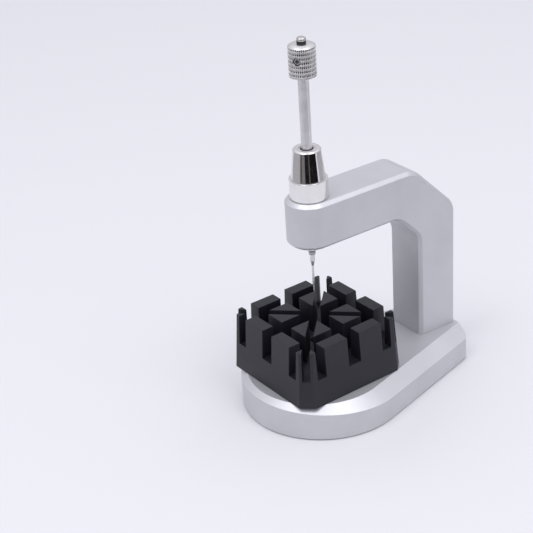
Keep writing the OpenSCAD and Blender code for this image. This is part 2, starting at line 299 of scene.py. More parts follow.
@dataclass(frozen=True)
class Plating:
    """Polished nickel plating over a turned surface.

    Args:
        name: Name of the material.
        tint: Base colour.
        roughness: Mean roughness.
        lines: Depth of the turning lines left below the plating, in metres.
    """

    name: str
    tint: Triple = (0.81, 0.80, 0.79)
    roughness: float = 0.06
    lines: float = 0.0006 * MM

    def build(self) -> Material:
        """Make the material.

        Returns:
            The material.
        """
        s = Shader(self.name)
        s.set(Metallic=1.0)
        turned = s.noise(s.mapped((40, 40, 5200)), 1.0, 3.0, 0.6)
        smear = s.noise(s.mapped((1, 1, 1)), 240.0, 4.0, 0.55)
        light = shade(self.tint, 1.02)
        dark = shade(self.tint, 0.95)
        s.colour(s.mix(s.remap(smear, 0.0, 1.0), dark, light))
        s.rough(s.remap(smear, self.roughness, self.roughness + 0.05))
        s.bump(turned, self.lines, 0.5)
        return s.material


@dataclass(frozen=True)
class MachinedSteel:
    """Turned or ground steel with fine lines.

    Args:
        name: Name of the material.
        tint: Base colour.
        roughness: Mean roughness.
        turning: Direction of the lines.
        depth: Depth of the lines in metres.
        spread: Change of roughness over the surface.
    """

    name: str
    tint: Triple = (0.56, 0.555, 0.55)
    roughness: float = 0.3
    turning: Turning = Turning.ROUND
    depth: float = 0.002 * MM
    spread: float = 0.1

    def build(self) -> Material:
        """Make the material.

        Returns:
            The material.
        """
        s = Shader(self.name)
        s.set(Metallic=1.0)
        scale = (60, 60, 7000) if self.turning is Turning.ROUND else (6000, 6000, 40)
        lines = s.noise(s.mapped(scale), 1.0, 3.0, 0.65)
        cloud = s.noise(s.mapped((1, 1, 1)), 160.0, 4.0, 0.5)
        light = shade(self.tint, 1.06)
        dark = shade(self.tint, 0.9)
        s.colour(s.mix(s.remap(cloud, 0.0, 1.0), dark, light))
        both = s.math("ADD", s.math("MULTIPLY", lines, 0.6), s.math("MULTIPLY", cloud, 0.4))
        s.rough(s.remap(both, self.roughness - self.spread / 2, self.roughness + self.spread))
        s.bump(lines, self.depth, 0.7)
        return s.material


@dataclass(frozen=True)
class MouldedPlastic:
    """Dark injection-moulded plastic with a fine spark-eroded texture and a painted highlight that makes its
    edges a little lighter.

    Args:
        name: Name of the material.
        tint: Colour of the faces.
        edge_highlight: Colour of the painted highlight on the edges.
        roughness: Mean roughness.
    """

    name: str
    tint: Triple = (0.0062, 0.0062, 0.0125)
    edge_highlight: Triple = (0.022, 0.022, 0.028)
    roughness: float = 0.5

    def build(self) -> Material:
        """Make the material.

        Returns:
            The material.
        """
        s = Shader(self.name)
        s.set(IOR=1.5)
        texture = s.noise(s.mapped((1, 1, 1)), 2600.0, 3.0, 0.6)
        cloud = s.noise(s.mapped((1, 1, 1)), 70.0, 4.0, 0.55)
        dark = shade(self.tint, 0.88)
        face = s.mix(s.remap(cloud, 0.0, 1.0), dark, self.tint)
        # Pointy edges are painted lighter as a painted highlight, in patches set by the cloud noise.
        geometry = s.nodes.new("ShaderNodeNewGeometry")
        edge = s.remap(geometry.outputs["Pointiness"], 0.0, 1.0, 0.53, 0.62)
        highlight_share = s.math("MULTIPLY", edge, s.remap(cloud, 0.35, 1.0))
        s.colour(s.mix(highlight_share, face, self.edge_highlight))
        s.rough(s.remap(texture, self.roughness - 0.05, self.roughness + 0.08))
        s.bump(texture, 0.012 * MM, 0.55)
        return s.material


@dataclass(frozen=True)
class Rubber:
    """Matt dark rubber.

    Args:
        name: Name of the material.
        tint: Base colour.
    """

    name: str
    tint: Triple = (0.018, 0.018, 0.021)

    def build(self) -> Material:
        """Make the material.

        Returns:
            The material.
        """
        s = Shader(self.name)
        texture = s.noise(s.mapped((1, 1, 1)), 1500.0, 3.0, 0.6)
        light = shade(self.tint, 1.5)
        s.colour(s.mix(s.remap(texture, 0.0, 1.0), self.tint, light))
        s.rough(s.remap(texture, 0.68, 0.85))
        s.bump(texture, 0.02 * MM, 0.6)
        return s.material


@dataclass(frozen=True)
class Bronze:
    """Reamed sintered bronze with fine pores.

    Args:
        name: Name of the material.
    """

    name: str

    def build(self) -> Material:
        """Make the material.

        Returns:
            The material.
        """
        s = Shader(self.name)
        s.set(Metallic=1.0)
        pores = s.noise(s.mapped((1, 1, 1)), 3000.0, 4.0, 0.7)
        s.colour(s.mix(s.remap(pores, 0.0, 1.0), (0.34, 0.21, 0.09), (0.60, 0.42, 0.20)))
        s.rough(s.remap(pores, 0.3, 0.48))
        s.bump(pores, 0.01 * MM, 0.5)
        return s.material


@dataclass(frozen=True)
class PaperSweep:
    """White paper below and behind the object.

    Args:
        name: Name of the material.
        tint: Colour of the paper.
    """

    name: str
    tint: Triple = (0.775, 0.775, 0.80)

    def build(self) -> Material:
        """Make the material.

        Returns:
            The material.
        """
        s = Shader(self.name)
        fibre = s.noise(s.mapped((1, 1, 1)), 900.0, 3.0, 0.5)
        light = shade(self.tint, 1.005)
        s.colour(s.mix(s.remap(fibre, 0.0, 1.0), self.tint, light))
        s.set(Roughness=0.9, Specular_IOR_Level=0.2)
        return s.material


# --------------------------------------------------------------------------------------------------
# Mesh helpers
# --------------------------------------------------------------------------------------------------


def faces_outwards(bm: BMesh) -> None:
    """Merge doubled points and turn every face outwards."""
    bmesh.ops.remove_doubles(bm, verts=bm.verts, dist=1e-7)
    bmesh.ops.recalc_face_normals(bm, faces=bm.faces)


def soften(bm: BMesh, edges: Iterable[BMEdge], offset: float, segments: int = 2) -> None:
    """Bevel edges.

    Args:
        bm: Mesh to change.
        edges: Edges to bevel.
        offset: Width of the bevel in metres.
        segments: Number of faces across it.
    """
    bmesh.ops.bevel(
        bm,
        geom=list(edges),
        offset=offset,
        offset_type="OFFSET",
        segments=segments,
        profile=0.5,
        affect="EDGES",
        clamp_overlap=True,
        material=-1,
    )


def sharp_edges(bm: BMesh, degrees: float, keep: Callable[[BMEdge], bool] | None = None) -> list[BMEdge]:
    """Edges whose two faces meet at more than an angle.

    Args:
        bm: Mesh to read.
        degrees: Smallest angle.
        keep: Further test that an edge has to pass.

    Returns:
        The edges.
    """
    limit = math.radians(degrees)
    return [
        e
        for e in bm.edges
        if len(e.link_faces) == 2 and e.calc_face_angle(0.0) > limit and (keep is None or keep(e))
    ]


def close_cut(bm: BMesh, cut: Iterable[BMVert | BMEdge]) -> None:
    """Fill the opening that a plane cut left.

    Args:
        bm: Mesh to change.
        cut: Points and edges that lie on the cut.
    """
    edges = [g for g in cut if isinstance(g, BMEdge) and g.is_valid and len(g.link_faces) < 2]
    if len(edges) > 2:
        bmesh.ops.contextual_create(bm, geom=edges)


def slice_off(bm: BMesh, point: Vector, outward: Vector, close: bool = True) -> None:
    """Cut away what lies beyond a plane.

    Args:
        bm: Mesh to change.
        point: Point of the plane.
        outward: Normal towards what goes away.
        close: Whether the cut gets a face.
    """
    done = bmesh.ops.bisect_plane(
        bm,
        geom=[*bm.verts, *bm.edges, *bm.faces],
        dist=1e-8,
        plane_co=point,
        plane_no=outward,
        clear_outer=True,
    )
    if close:
        close_cut(bm, done["geom_cut"])


def turned(profile: Iterable[Point2], steps: int = 96) -> BMesh:
    """Spin a closed profile round the plunger's axis.

    Args:
        profile: Corners as (radius, height) in metres, in order.
        steps: Number of steps in a full turn.

    Returns:
        The turned body.
    """
    bm = bmesh.new()
    corners = [bm.verts.new((r, 0.0, z)) for r, z in profile]
    loop = [bm.edges.new((a, b)) for a, b in zip(corners, corners[1:] + corners[:1])]
    loop = [e for e in loop if max(v.co.x for v in e.verts) > 1e-9]
    bmesh.ops.spin(
        bm,
        geom=[*corners, *loop],
        cent=(0, 0, 0),
        axis=(0, 0, 1),
        angle=2 * math.pi,
        steps=steps,
        use_merge=True,
        use_duplicate=False,
    )
    bmesh.ops.delete(bm, geom=[e for e in bm.edges if not e.link_faces], context="EDGES")
    bmesh.ops.dissolve_degenerate(bm, dist=1e-8, edges=bm.edges)
    faces_outwards(bm)
    return bm


def rounded_profile(profile: list[Point2], radius: float) -> list[Point2]:
    """Break every corner of a closed profile that lies off the axis.

    Args:
        profile: Corners as (radius, height).
        radius: Cut measured along each side.

    Returns:
        The profile with three points at each broken corner.
    """
    result: list[Point2] = []
    count = len(profile)
    for i, corner in enumerate(profile):
        before, here, after = Vector(profile[i - 1]), Vector(corner), Vector(profile[(i + 1) % count])
        if here.x < 1e-9:
            result.append(corner)
            continue
        back, ahead = before - here, after - here
        cut = min(radius, back.length * 0.4, ahead.length * 0.4)
        first, last = here + back.normalized() * cut, here + ahead.normalized() * cut
        middle = (first + last) / 2 * 0.55 + here * 0.45
        result += [tuple(first), tuple(middle), tuple(last)]
    return result


@dataclass
class Piece:
    """One shown piece: its mesh, finish and body.

    Args:
        name: Name of the object.
        node: CAD node it stands for, which is hidden when the piece is added.
        body: CAD body it rides on.
    """

    name: str
    node: str
    body: str = "frame"

    def add(
        self,
        bm: BMesh,
        finish: Material | list[Material],
        smooth: float = 30.0,
        weighted: bool = True,
    ) -> Object:
        """Turn a bmesh into a finished object.

        Args:
            bm: Mesh; it is freed.
            finish: Material, or the materials that the faces' indices stand for.
            smooth: Angle in degrees above which an edge stays sharp.
            weighted: Whether big faces keep flat shading beside small bevels.

        Returns:
            The object.
        """
        mesh = bpy.data.meshes.new(self.name)
        bm.to_mesh(mesh)
        bm.free()
        obj = bpy.data.objects.new(self.name, mesh)
        bpy.context.scene.collection.objects.link(obj)
        for material in finish if isinstance(finish, list) else [finish]:
            mesh.materials.append(material)
        mesh.shade_smooth()
        mesh.set_sharp_from_angle(angle=math.radians(smooth))
        if weighted:
            modifier = obj.modifiers.new("flat_faces", "WEIGHTED_NORMAL")
            modifier.keep_sharp = True
            modifier.weight = 80
        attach(obj, self.body)
        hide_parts(self.node)
        LOG.info("%s: %d faces", self.name, len(mesh.polygons))
        return obj

    def turn(
        self, profile: list[Point2], edge: float, steps: int, finish: Material, smooth: float = 40.0
    ) -> Object:
        """Spin a profile with broken corners round the plunger's axis and finish it.

        Args:
            profile: Corners as (radius, height).
            edge: Cut measured along each side of a corner.
            steps: Number of steps in a full turn.
            finish: Material.
            smooth: Angle in degrees above which an edge stays sharp.

        Returns:
            The object.
        """
        return self.add(turned(rounded_profile(profile, edge), steps), finish, smooth)


def drilled(bm: BMesh, cutters: list[BMesh]) -> BMesh:
    """Cut closed bodies out of a closed body.

    Args:
        bm: Body to cut; it is freed.
        cutters: Bodies to cut away; they are freed.

    Returns:
        The body with its holes.
    """
    made: list[Object] = []
    for label, source in (("work", bm), *((f"cutter_{i}", c) for i, c in enumerate(cutters))):
        mesh = bpy.data.meshes.new(label)
        source.to_mesh(mesh)
        source.free()
        obj = bpy.data.objects.new(label, mesh)
        bpy.context.scene.collection.objects.link(obj)
        made.append(obj)
    for cutter in made[1:]:
        modifier = made[0].modifiers.new("cut", "BOOLEAN")
        modifier.operation = "DIFFERENCE"
        modifier.solver = "EXACT"
        modifier.object = cutter
    bpy.context.view_layer.update()
    graph = bpy.context.evaluated_depsgraph_get()
    result = bmesh.new()
    result.from_mesh(made[0].evaluated_get(graph).to_mesh())
    for obj in made:
        mesh = obj.data
        bpy.data.objects.remove(obj)
        bpy.data.meshes.remove(mesh)
    bmesh.ops.remove_doubles(result, verts=result.verts, dist=1e-7)
    return result


def paint(bm: BMesh, chosen: Callable[[BMFace], bool]) -> None:
    """Give the chosen faces the second of the piece's materials and the others the first.

    Args:
        bm: Mesh to change.
        chosen: Test that a face has to pass.
    """
    bm.normal_update()
    for face in bm.faces:
        face.material_index = int(chosen(face))


def rod_between(start: Vector, end: Vector, radius: float, sides: int = 48) -> BMesh:
    """Round bar from one point to another.

    Args:
        start: Centre of the first end.
        end: Centre of the second end.
        radius: Radius of the bar.
        sides: Number of sides.

    Returns:
        The closed bar.
    """
    bm = bmesh.new()
    axis = end - start
    place = Matrix.Translation((start + end) / 2) @ axis.to_track_quat("Z", "Y").to_matrix().to_4x4()
    bmesh.ops.create_cone(
        bm, cap_ends=True, segments=sides, radius1=radius, radius2=radius, depth=axis.length, matrix=place
    )
    return bm


def upright(middle: Point2, heights: Point2, radius: float, sides: int = 48) -> BMesh:
    """Upright round bar.

    Args:
        middle: Its place as (x, y).
        heights: Heights of its two ends.
        radius: Radius of the bar.
        sides: Number of sides.

    Returns:
        The closed bar.
    """
    return rod_between(Vector((*middle, heights[0])), Vector((*middle, heights[1])), radius, sides)


def hex_socket(place: Matrix, radius: float, depth: float) -> BMesh:
    """Hexagon bar that cuts a key socket.

    Args:
        place: Place of its middle, its length along Z.
        radius: Distance of its corners from the middle.
        depth: Length of the bar.

    Returns:
        The closed bar.
    """
    bm = bmesh.new()
    bmesh.ops.create_cone(
        bm, cap_ends=True, segments=6, radius1=radius, radius2=radius, depth=depth, matrix=place
    )
    return bm


def new_verts(made: dict) -> list[BMVert]:
    """Points among the geometry that an operator made."""
    return [g for g in made["geom"] if isinstance(g, BMVert)]


def middle_of(node: str) -> Vector:
    """Middle of a CAD node's box."""
    return (low(node) + high(node)) / 2


def ring_profile(node: str, inner: float, play: float = 0.0) -> list[Point2]:
    """Section of a plain ring that fills a CAD node's box.

    Args:
        node: CAD node.
        inner: Radius of the ring's bore.
        play: Gap left round the ring.

    Returns:
        The four corners as (radius, height).
    """
    outer, bottom, top = high(node).x - play, low(node).z, high(node).z
    return [(inner, bottom), (outer, bottom), (outer, top), (inner, top)]


def low(node: str) -> Vector:
    """Lowest corner of a CAD node."""
    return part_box(node)[0]


def high(node: str) -> Vector:
    """Highest corner of a CAD node."""
    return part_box(node)[1]


# --------------------------------------------------------------------------------------------------
# Camera and light
# --------------------------------------------------------------------------------------------------


@dataclass
class Studio:
    """Camera, lamps, reflectors and paper sweep.

    Args:
        eye: Place of the camera.
        azimuth: Direction of the camera round the object, in degrees.
        elevation: Height of the camera's line above the horizon, in degrees.
        roll: Turn about that line, in degrees.
        lens: Focal length for a sensor 36 mm wide.
        softbox: Side of each square lamp.
        power: Power of each lamp in watts.
        screen_r: Distance of the curved cards from the plunger.
        card_top: Height of the cards' upper edge.
        paper_r: Radius of the paper on the floor.
    """

    eye: Vector = field(default_factory=lambda: Vector((0.450326, -0.323816, 0.362411)))
    azimuth: float = 56.40
    elevation: float = 27.87
    roll: float = -3.95
    lens: float = 95.57
    softbox: float = 0.6
    power: float = 2.5
    screen_r: float = 0.33
    card_top: float = 0.09
    paper_r: float = 2.4

    def camera(self) -> None:
        """Make the camera that the scene is seen with."""
        a, e, r = (math.radians(v) for v in (self.azimuth, self.elevation, self.roll))
        back = Vector((math.sin(a) * math.cos(e), -math.cos(a) * math.cos(e), math.sin(e)))
        flat = Vector((math.cos(a), math.sin(a), 0.0))
        above = back.cross(flat)
        right = flat * math.cos(r) + above * math.sin(r)
        up = above * math.cos(r) - flat * math.sin(r)
        data = bpy.data.cameras.new("view_camera")
        data.lens = self.lens
        data.sensor_width = 36.0
        data.clip_start = 0.01
        data.clip_end = 20.0
        camera = bpy.data.objects.new("view_camera", data)
        bpy.context.scene.collection.objects.link(camera)
        camera.matrix_world = Matrix.Translation(self.eye) @ Matrix((right, up, back)).transposed().to_4x4()
        bpy.context.scene.camera = camera

    def lamp(self, name: str, place: Vector, aim: Vector) -> None:
        """Hang one softbox.

        Args:
            name: Name of the lamp.
            place: Centre of its window.
            aim: Point it faces.
        """
        data = bpy.data.lights.new(name, "AREA")
        data.shape = "RECTANGLE"
        data.size = data.size_y = self.softbox
        data.energy = self.power
        data.color = (1.0, 0.995, 1.0)
        obj = bpy.data.objects.new(name, data)
        bpy.context.scene.collection.objects.link(obj)
        facing = (place - aim).to_track_quat("Z", "Y").to_matrix().to_4x4()
        obj.matrix_world = Matrix.Translation(place) @ facing

    def screen(self, name: str, span: Point2, heights: Point2, tint: Triple) -> None:
        """Stand a curved card before the object that shows in the polished pieces only.

        Args:
            name: Name of the card.
            span: Its ends, in degrees to the right of the camera.
            heights: Its lower and upper edge.
            tint: Colour of the card.
        """
        ends = [math.radians(self.azimuth - 90 + angle) for angle in span]
        bm = bmesh.new()
        start = Vector((math.cos(ends[0]), math.sin(ends[0]), 0.0)) * self.screen_r
        verts = [bm.verts.new(start + Vector((0, 0, z))) for z in heights]
        edge = bm.edges.new(verts)
        bmesh.ops.spin(
            bm,
            geom=[*verts, edge],
            cent=(0, 0, 0),
            axis=(0, 0, 1),
            angle=ends[1] - ends[0],
            steps=24,
            use_merge=False,
        )
        mesh = bpy.data.meshes.new(name)
        bm.to_mesh(mesh)
        bm.free()
        obj = bpy.data.objects.new(name, mesh)
        bpy.context.scene.collection.objects.link(obj)
        s = Shader(name)
        s.set(Base_Color=(*tint, 1.0), Roughness=1.0, Specular_IOR_Level=0.0)
        mesh.materials.append(s.material)
        obj.visible_camera = False
        obj.visible_diffuse = False
        obj.visible_shadow = False

    def sweep(self, floor_z: float) -> None:
        """Lay the paper that the object stands on.

        Args:
            floor_z: Height of the paper.
        """
        bm = bmesh.new()
        bmesh.ops.create_circle(bm, cap_ends=True, segments=128, radius=self.paper_r)
        bmesh.ops.translate(bm, vec=(0.0, 0.0, floor_z), verts=bm.verts)
        mesh = bpy.data.meshes.new("paper_sweep")
        bm.to_mesh(mesh)
        bm.free()
        mesh.materials.append(PaperSweep("white_paper").build())
        obj = bpy.data.objects.new("paper_sweep", mesh)
        bpy.context.scene.collection.objects.link(obj)

    def surroundings(self) -> None:
        """Fill the room with pale light that grows stronger overhead."""
        world = bpy.data.worlds.new("pale_room")
        bpy.context.scene.world = world
        world.use_nodes = True
        nodes, links = world.node_tree.nodes, world.node_tree.links
        direction = nodes.new("ShaderNodeTexCoord")
        parts = nodes.new("ShaderNodeSeparateXYZ")
        ramp = nodes.new("ShaderNodeValToRGB")
        links.new(direction.outputs["Generated"], parts.inputs["Vector"])
        links.new(parts.outputs["Z"], ramp.inputs["Fac"])
        stops = ((0.0, 0.55), (0.35, 0.64), (0.62, 0.80), (0.85, 0.96))
        for index, (position, value) in enumerate(stops):
            stop = ramp.color_ramp.elements[index] if index < 2 else ramp.color_ramp.elements.new(position)
            stop.position = position
            stop.color = (value * 0.985, value * 0.985, value * 1.06, 1.0)
        links.new(ramp.outputs["Color"], nodes["Background"].inputs["Color"])
        nodes["Background"].inputs["Strength"].default_value = 1.05
        bpy.context.scene.view_settings.view_transform = "Standard"
        bpy.context.scene.view_settings.look = "None"

    def build(self, floor_z: float) -> None:
        """Set up everything round the object.

        Args:
            floor_z: Height of the floor.
        """
        self.surroundings()
        self.sweep(floor_z)
        middle = Vector((0.0, 0.02, 0.07))
        self.lamp("right_soft", Vector((0.575, 0.17, 1.11)), middle)
        self.lamp("left_soft", Vector((0.067, -0.596, 1.11)), middle)
        black, warm, smoke = (0.012, 0.011, 0.011), (0.13, 0.11, 0.10), (0.24, 0.225, 0.22)
        grey = (0.52, 0.51, 0.51)
        cards = (
            ("outer_left", -128.0, -56.0, grey),
            ("dim_left", -56.0, -42.0, warm),
            ("smoke_left", -42.0, -22.0, smoke),
            ("black_left", -22.0, 4.0, black),
            ("warm_middle", 4.0, 12.0, warm),
            ("black_right", 12.0, 64.0, black),
            ("outer_right", 74.0, 136.0, grey),
        )
        for name, start, end, tint in cards:
            self.screen(name + "_card", (start, end), (floor_z, self.card_top), tint)
        LOG.info("studio ready")


# --------------------------------------------------------------------------------------------------
# Base
# --------------------------------------------------------------------------------------------------


@dataclass
class Base:
    """Base plate and its pads.

    Args:
        wall_r: Radius of the round front wall.
        wall_set: Distance of its centre behind the plunger.
        taper: Angle by which the sides run in, in degrees.
        rear_r: Radius of the rear corners.
        top_r: Radius at which the flat top ends.
        slope: Slope of the bevel in degrees.
        edge: Width of the broken edges.
        pocket: Radius and depth of the pockets for the screw heads.
        pad_r: Radius of the pads.
        recess: Depth of the pads' recesses.
        rear_pad_x: Distance of the rear pads from the middle.
    """

    wall_r: float = 38.1 * MM
    wall_set: float = 3.0 * MM
    taper: float = 15.3
    rear_r: float = 4.0 * MM
    top_r: float = 32.4 * MM
    slope: float = 38.7
    edge: float = 0.35 * MM
    pocket: Point2 = (4.55 * MM, 8.0 * MM)
    pad_r: float = 5.0 * MM
    recess: float = 1.0 * MM
    rear_pad_x: float = 15.5 * MM

    def outline(self, bm: BMesh, back: float) -> BMFace:
        """Draw the plate's outline as one face.

        Args:
            bm: Mesh to draw in.
            back: Distance of the flat back from the plunger.

        Returns:
            The face.
        """
        lean = math.radians(self.taper)
        side = Vector((math.cos(lean), math.sin(lean), 0.0))
        corner_y = back - self.rear_r
        corner_x = (self.wall_r - self.rear_r - (corner_y - self.wall_set) * side.y) / side.x
        start = bm.verts.new((0.0, self.wall_set - self.wall_r, 0.0))
        front = bmesh.ops.spin(
            bm,
            geom=[start],
            cent=(0, self.wall_set, 0),
            axis=(0, 0, 1),
            angle=math.radians(90 + self.taper),
            steps=72,
        )
        tip = next(g for g in front["geom_last"] if isinstance(g, BMVert))
        run = bmesh.ops.extrude_vert_indiv(bm, verts=[tip])["verts"][0]
        run.co = Vector((corner_x, corner_y, 0.0)) + side * self.rear_r
        rear = bmesh.ops.spin(
            bm,
            geom=[run],
            cent=(corner_x, corner_y, 0),
            axis=(0, 0, 1),
            angle=math.radians(90 - self.taper),
            steps=12,
        )
        last = next(g for g in rear["geom_last"] if isinstance(g, BMVert))
        middle = bmesh.ops.extrude_vert_indiv(bm, verts=[last])["verts"][0]
        middle.co = (0.0, back, 0.0)
        half = [*bm.verts, *bm.edges]
        bmesh.ops.mirror(bm, geom=half, matrix=Matrix.Identity(4), merge_dist=1e-7, axis="X")
        bmesh.ops.remove_doubles(bm, verts=bm.verts, dist=1e-7)
        return bmesh.ops.contextual_create(bm, geom=bm.edges[:])["faces"][0]

    def plate(self) -> BMesh:
        """Build the plate with its bevel and softened edges.

        Returns:
            The plate, without its pockets.
        """
        bottom, top = low("base_plate").z, high("base_plate").z
        bm = bmesh.new()
        face = self.outline(bm, high("base_plate").y)
        wall = bmesh.ops.extrude_face_region(bm, geom=[face])
        bmesh.ops.translate(bm, vec=(0, 0, top - bottom), verts=new_verts(wall))
        bmesh.ops.recalc_face_normals(bm, faces=bm.faces)
        fall = math.radians(self.slope)
        steps = 90
        span = 180 + 2 * self.taper
        for i in range(steps + 1):
            turn = math.radians(180 - self.taper + span * i / steps)
            reach = self.top_r * math.cos(math.radians(span / steps / 2)) if 0 < i < steps else self.top_r
            out = Vector((math.cos(turn), math.sin(turn), 0.0))
            outward = out * math.sin(fall) + Vector((0, 0, math.cos(fall)))
            slice_off(bm, out * reach + Vector((0, 0, top)), outward)
        bmesh.ops.remove_doubles(bm, verts=bm.verts, dist=2e-7)
        bmesh.ops.recalc_face_normals(bm, faces=bm.faces)
        soften(bm, sharp_edges(bm, 18.0), self.edge, 2)
        return bm

    def build(self, aluminium: Material, cut: Material, rubber: Material) -> None:
        """Build the plate and its pads.

        Args:
            aluminium: Finish of the plate.
            cut: Finish of its bevel: smoother, more metallic aluminium whose lighter tint is a painted sheen.
            rubber: Finish of the pads.
        """
        below = -2.0 * MM
        screw_x = middle_of("column_screws").x
        pocket_r, pocket_h = self.pocket
        pockets = [upright((screw_x, y), (below, pocket_h), pocket_r) for y in self.screw_lines()]
        bottom, top = low("base_feet").z, self.recess - 0.1 * MM
        pads = bmesh.new()
        for x, y in self.pad_places():
            pockets.append(upright((x, y), (below, self.recess), self.pad_r + 0.1 * MM, 64))
            bmesh.ops.create_cone(
                pads,
                cap_ends=True,
                segments=64,
                radius1=self.pad_r,
                radius2=self.pad_r,
                depth=top - bottom,
                matrix=Matrix.Translation((x, y, (top + bottom) / 2)),
            )
        plate = drilled(self.plate(), pockets)
        # The bevel gets the lighter aluminium: a smoother finish with a painted sheen in its tint.
        paint(plate, lambda face: 0.6 < face.normal.z < 0.9)
        Piece("base_plate_body", "base_plate").add(plate, [aluminium, cut], 35.0)
        soften(pads, sharp_edges(pads, 60.0), 0.2 * MM, 2)
        Piece("foot_pads", "base_feet").add(pads, rubber, 40.0)

    def pad_places(self) -> list[Point2]:
        """Work out where the four pads are.

        Returns:
            Their centres as (x, y).
        """
        box_low, box_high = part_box("base_feet")
        front_y, rear_y = box_low.y + self.pad_r, box_high.y - self.pad_r
        front_x, rear_x = box_high.x - self.pad_r, self.rear_pad_x
        return [(front_x, front_y), (-front_x, front_y), (rear_x, rear_y), (-rear_x, rear_y)]

    def screw_lines(self) -> tuple[float, float]:
        """Places of the two column screws along the plate."""
        radius = (high("column_screws").x - low("column_screws").x) / 2
        return low("column_screws").y + radius, high("column_screws").y - radius


# --------------------------------------------------------------------------------------------------
# Arm and column
# --------------------------------------------------------------------------------------------------


@dataclass
class Arm:
    """Column and arm, one bent bar with chamfered edges and a round nose.

    Args:
        elbow_leg: Leg of the outer corner that the elbow cuts.
        elbow_r: Radius at both ends of the outer elbow face.
        inner_leg: Leg of the elbow face on the inner corner.
        inner_r: Radius at both ends of the inner elbow face.
        chamfer: Width of the chamfers on the bar's faces.
        edge: Width of the broken edges.
        spigot_r: Radius of the bore for the guide ring.
        chamber_r: Radius of the spring's chamber.
    """

    elbow_leg: float = 24.1 * MM
    elbow_r: float = 10.0 * MM
    inner_leg: float = 12.1 * MM
    inner_r: float = 8.0 * MM
    chamfer: float = 1.65 * MM
    edge: float = 0.22 * MM
    spigot_r: float = 6.85 * MM
    chamber_r: float = 5.2 * MM

    def profile(self, bm: BMesh, half: float) -> BMFace:
        """Draw the side view behind the plunger's axis as one face, at the bar's left side.

        Args:
            bm: Mesh to draw in.
            half: Half the width of the bar.

        Returns:
            The face.
        """
        top, bottom = high("arm_frame").z, low("arm_frame").z
        back = high("arm_frame").y
        front = back - 2 * half
        under = top - 2 * half
        corners = [
            (0.0, under, 0.0),
            (front - self.inner_leg, under, self.inner_r),
            (front, under - self.inner_leg, self.inner_r),
            (front, bottom, 0.0),
            (back, bottom, 0.0),
            (back, top - self.elbow_leg, self.elbow_r),
            (back - self.elbow_leg, top, self.elbow_r),
            (0.0, top, 0.0),
        ]
        verts = [bm.verts.new((-half, y, z)) for y, z, _ in corners]
        for a, b in zip(verts, verts[1:] + verts[:1]):
            bm.edges.new((a, b))
        for vert, (_, _, radius) in zip(verts, corners):
            if radius:
                bmesh.ops.bevel(
                    bm,
                    geom=[vert],
                    offset=radius * math.tan(math.radians(22.5)),
                    offset_type="OFFSET",
                    segments=14,
                    profile=0.5,
                    affect="VERTICES",
                    clamp_overlap=False,
                    material=-1,
                )
        return bmesh.ops.contextual_create(bm, geom=bm.edges[:])["faces"][0]

    def bar(self) -> BMesh:
        """Build the bent bar with its chamfers and round nose.

        Returns:
            The bar, without its bores.
        """
        half = high("arm_frame").x
        bm = bmesh.new()
        side = self.profile(bm, half)
        grown = bmesh.ops.extrude_face_region(bm, geom=[side])
        bmesh.ops.translate(bm, vec=(2 * half, 0, 0), verts=new_verts(grown))
        bmesh.ops.recalc_face_normals(bm, faces=bm.faces)
        foot = low("arm_frame").z
        long_edges = [
            e
            for e in sharp_edges(bm, 60.0)
            if abs(e.verts[0].co.x - e.verts[1].co.x) < 1e-7
            and min(v.co.y for v in e.verts) + max(v.co.y for v in e.verts) > 1e-6
            and max(v.co.z for v in e.verts) > foot + 1e-6
        ]
        soften(bm, long_edges, self.chamfer, 1)
        caps = [f for f in bm.faces if all(abs(v.co.y) < 1e-7 for v in f.verts)]
        bmesh.ops.delete(bm, geom=caps, context="FACES")
        bmesh.ops.bisect_plane(
            bm, geom=[*bm.verts, *bm.edges, *bm.faces], dist=1e-8, plane_co=(0, 0, 0), plane_no=(1, 0, 0)
        )
        rim = [e for e in bm.edges if e.is_boundary and min(v.co.x for v in e.verts) > -1e-7]
        bmesh.ops.spin(
            bm,
            geom=[*rim, *{v for e in rim for v in e.verts}],
            cent=(0, 0, 0),
            axis=(0, 0, 1),
            angle=-math.pi,
            steps=48,
            use_merge=False,
            use_duplicate=False,
        )
        bmesh.ops.remove_doubles(bm, verts=bm.verts, dist=1e-6)
        bmesh.ops.dissolve_degenerate(bm, dist=1e-7, edges=bm.edges)
        bmesh.ops.dissolve_limit(
            bm, angle_limit=math.radians(0.05), verts=bm.verts, edges=bm.edges, use_dissolve_boundaries=False
        )
        bmesh.ops.recalc_face_normals(bm, faces=bm.faces)
        soften(bm, sharp_edges(bm, 20.0), self.edge, 2)
        return bm

    def build(self, aluminium: Material, cut: Material) -> None:
        """Build the bar and cut its bores.

        Args:
            aluminium: Finish of the bar.
            cut: Finish of its upward chamfers: smoother, more metallic aluminium whose lighter tint is a
                painted sheen.
        """
        axis, past, overlap = (0.0, 0.0), 2.0 * MM, 1.0 * MM
        top, under = high("arm_frame").z, low("lower_bush").z
        spigot_z, chamber_z = low("guide_collar").z, high("lower_bush").z
        bores = [
            upright(axis, (spigot_z, top + past), self.spigot_r, 96),
            upright(axis, (chamber_z, spigot_z + overlap), self.chamber_r, 96),
            upright(axis, (under - past, chamber_z + overlap), high("lower_bush").x, 96),
        ]
        bar = drilled(self.bar(), bores)
        # Upward chamfers get the lighter aluminium: a smoother finish with a painted sheen in its tint.
        paint(bar, self.gets_painted_sheen)
        Piece("arm_bar", "arm_frame").add(bar, [aluminium, cut], 30.0)

    def gets_painted_sheen(self, face: BMFace) -> bool:
        """Tell whether a face belongs to the upper chamfers along the bar and round the nose; only these
        upward faces get the painted sheen.
        """
        lean = abs(face.normal.x) if face.calc_center_median().y > 0 else face.normal.z
        return 0.55 < lean < 0.85 and face.normal.z > 0.3


# --------------------------------------------------------------------------------------------------
# Guide housing
# --------------------------------------------------------------------------------------------------


